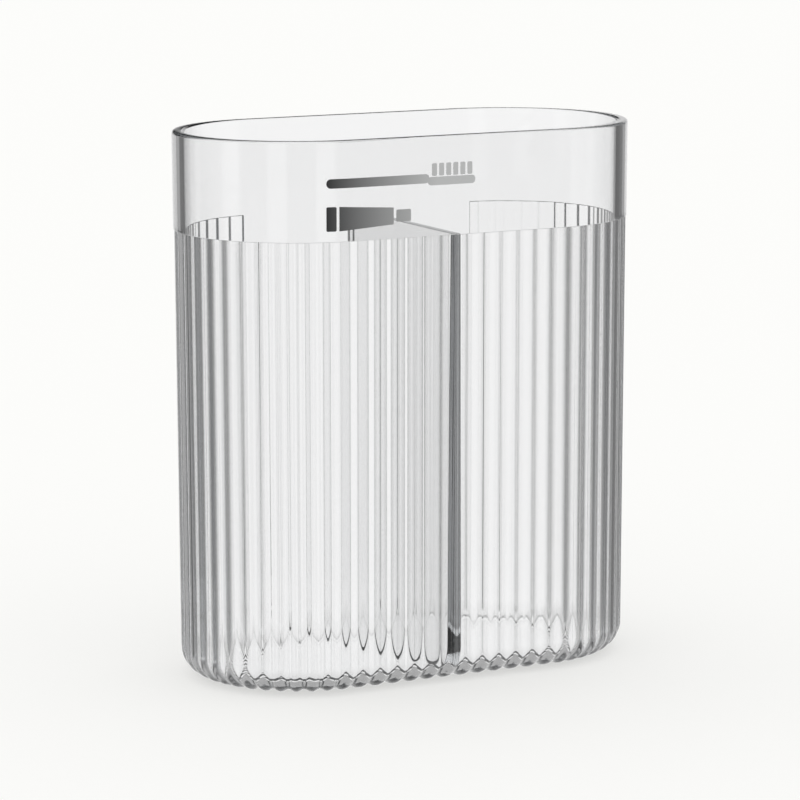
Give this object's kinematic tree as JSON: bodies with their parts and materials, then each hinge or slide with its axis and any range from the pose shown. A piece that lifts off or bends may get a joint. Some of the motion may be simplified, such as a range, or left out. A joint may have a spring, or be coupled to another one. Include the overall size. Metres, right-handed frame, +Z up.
{
  "type": "toothbrush holder",
  "caption": "Clear moulded toothbrush holder: an obround cup with a smooth band over a reeded wall, and a lift-out divider that parts it into two wells.",
  "frame": {"origin": "middle of the underside, on the table", "axes": "+Z up out of the mouth, +X along the long side, the front towards -Y"},
  "size_m": [0.1054, 0.0546, 0.12],
  "materials": {
    "clear_plastic": "clear, polished as moulded"
  },
  "bodies": {
    "cup": {"cup": "clear_plastic"},
    "divider": {"divider": "clear_plastic"}
  },
  "joints": [
    {"name": "divider_lift", "type": "slide", "parent": "cup", "child": "divider", "axis": [0, 0, 1], "range_m": [0, 0.12]}
  ]
}
